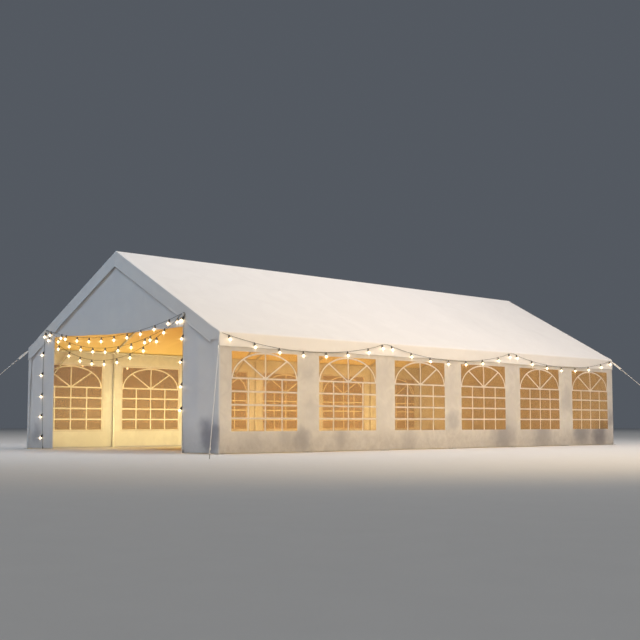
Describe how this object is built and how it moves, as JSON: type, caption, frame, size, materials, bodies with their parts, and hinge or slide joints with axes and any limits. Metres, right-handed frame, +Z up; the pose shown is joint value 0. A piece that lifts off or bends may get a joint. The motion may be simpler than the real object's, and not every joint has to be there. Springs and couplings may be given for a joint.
{
  "type": "marquee tent",
  "caption": "Gabled party marquee: steel tube frame under a white cloth cover, walls with clear arched windows, an open front doorway, corner guy ropes and strings of lights.",
  "frame": {"origin": "on the ground under the middle of the tent", "axes": "+Z up, +Y along the ridge from the open front doorway towards the closed back gable, +X towards the right wall as seen from the front"},
  "size_m": [9.164, 15.0608, 3.61],
  "materials": {
    "coated_steel": "satin powder coat over galvanised tube",
    "white_cloth": "woven polyethylene cloth with a soft sheen",
    "clear_film": "clear flexible window film",
    "white_bar": "white bars printed and welded on the window film",
    "white_rope": "laid cord",
    "bare_steel": "zinc plated",
    "light_cord": "black rubber cable and lamp holders",
    "lamp_bulb": "warm glowing bulb"
  },
  "bodies": {
    "root": {"left_leg_1": "coated_steel", "left_leg_2": "coated_steel", "left_leg_3": "coated_steel", "left_leg_4": "coated_steel", "left_leg_5": "coated_steel", "left_leg_6": "coated_steel", "left_leg_7": "coated_steel", "right_leg_1": "coated_steel", "right_leg_2": "coated_steel", "right_leg_3": "coated_steel", "right_leg_4": "coated_steel", "right_leg_5": "coated_steel", "right_leg_6": "coated_steel", "right_leg_7": "coated_steel", "left_rafter_1": "coated_steel", "left_rafter_2": "coated_steel", "left_rafter_3": "coated_steel", "left_rafter_4": "coated_steel", "left_rafter_5": "coated_steel", "left_rafter_6": "coated_steel", "left_rafter_7": "coated_steel", "right_rafter_1": "coated_steel", "right_rafter_2": "coated_steel", "right_rafter_3": "coated_steel", "right_rafter_4": "coated_steel", "right_rafter_5": "coated_steel", "right_rafter_6": "coated_steel", "right_rafter_7": "coated_steel", "left_eave_rail": "coated_steel", "right_eave_rail": "coated_steel", "ridge_rail": "coated_steel", "front_left_knee_brace": "coated_steel", "front_right_knee_brace": "coated_steel", "back_left_knee_brace": "coated_steel", "back_right_knee_brace": "coated_steel", "roof_cover": "white_cloth", "left_wall": "white_cloth", "right_wall": "white_cloth", "front_wall": "white_cloth", "back_wall": "white_cloth", "back_door_panel": "white_cloth", "left_window_film": "clear_film", "right_window_film": "clear_film", "front_left_guy_rope": "white_rope", "front_right_guy_rope": "white_rope", "back_left_guy_rope": "white_rope", "back_right_guy_rope": "white_rope", "front_left_peg": "bare_steel", "front_right_peg": "bare_steel", "back_left_peg": "bare_steel", "back_right_peg": "bare_steel", "left_light_cord": "light_cord", "right_light_cord": "light_cord", "front_light_cord": "light_cord"}
  },
  "joints": []
}
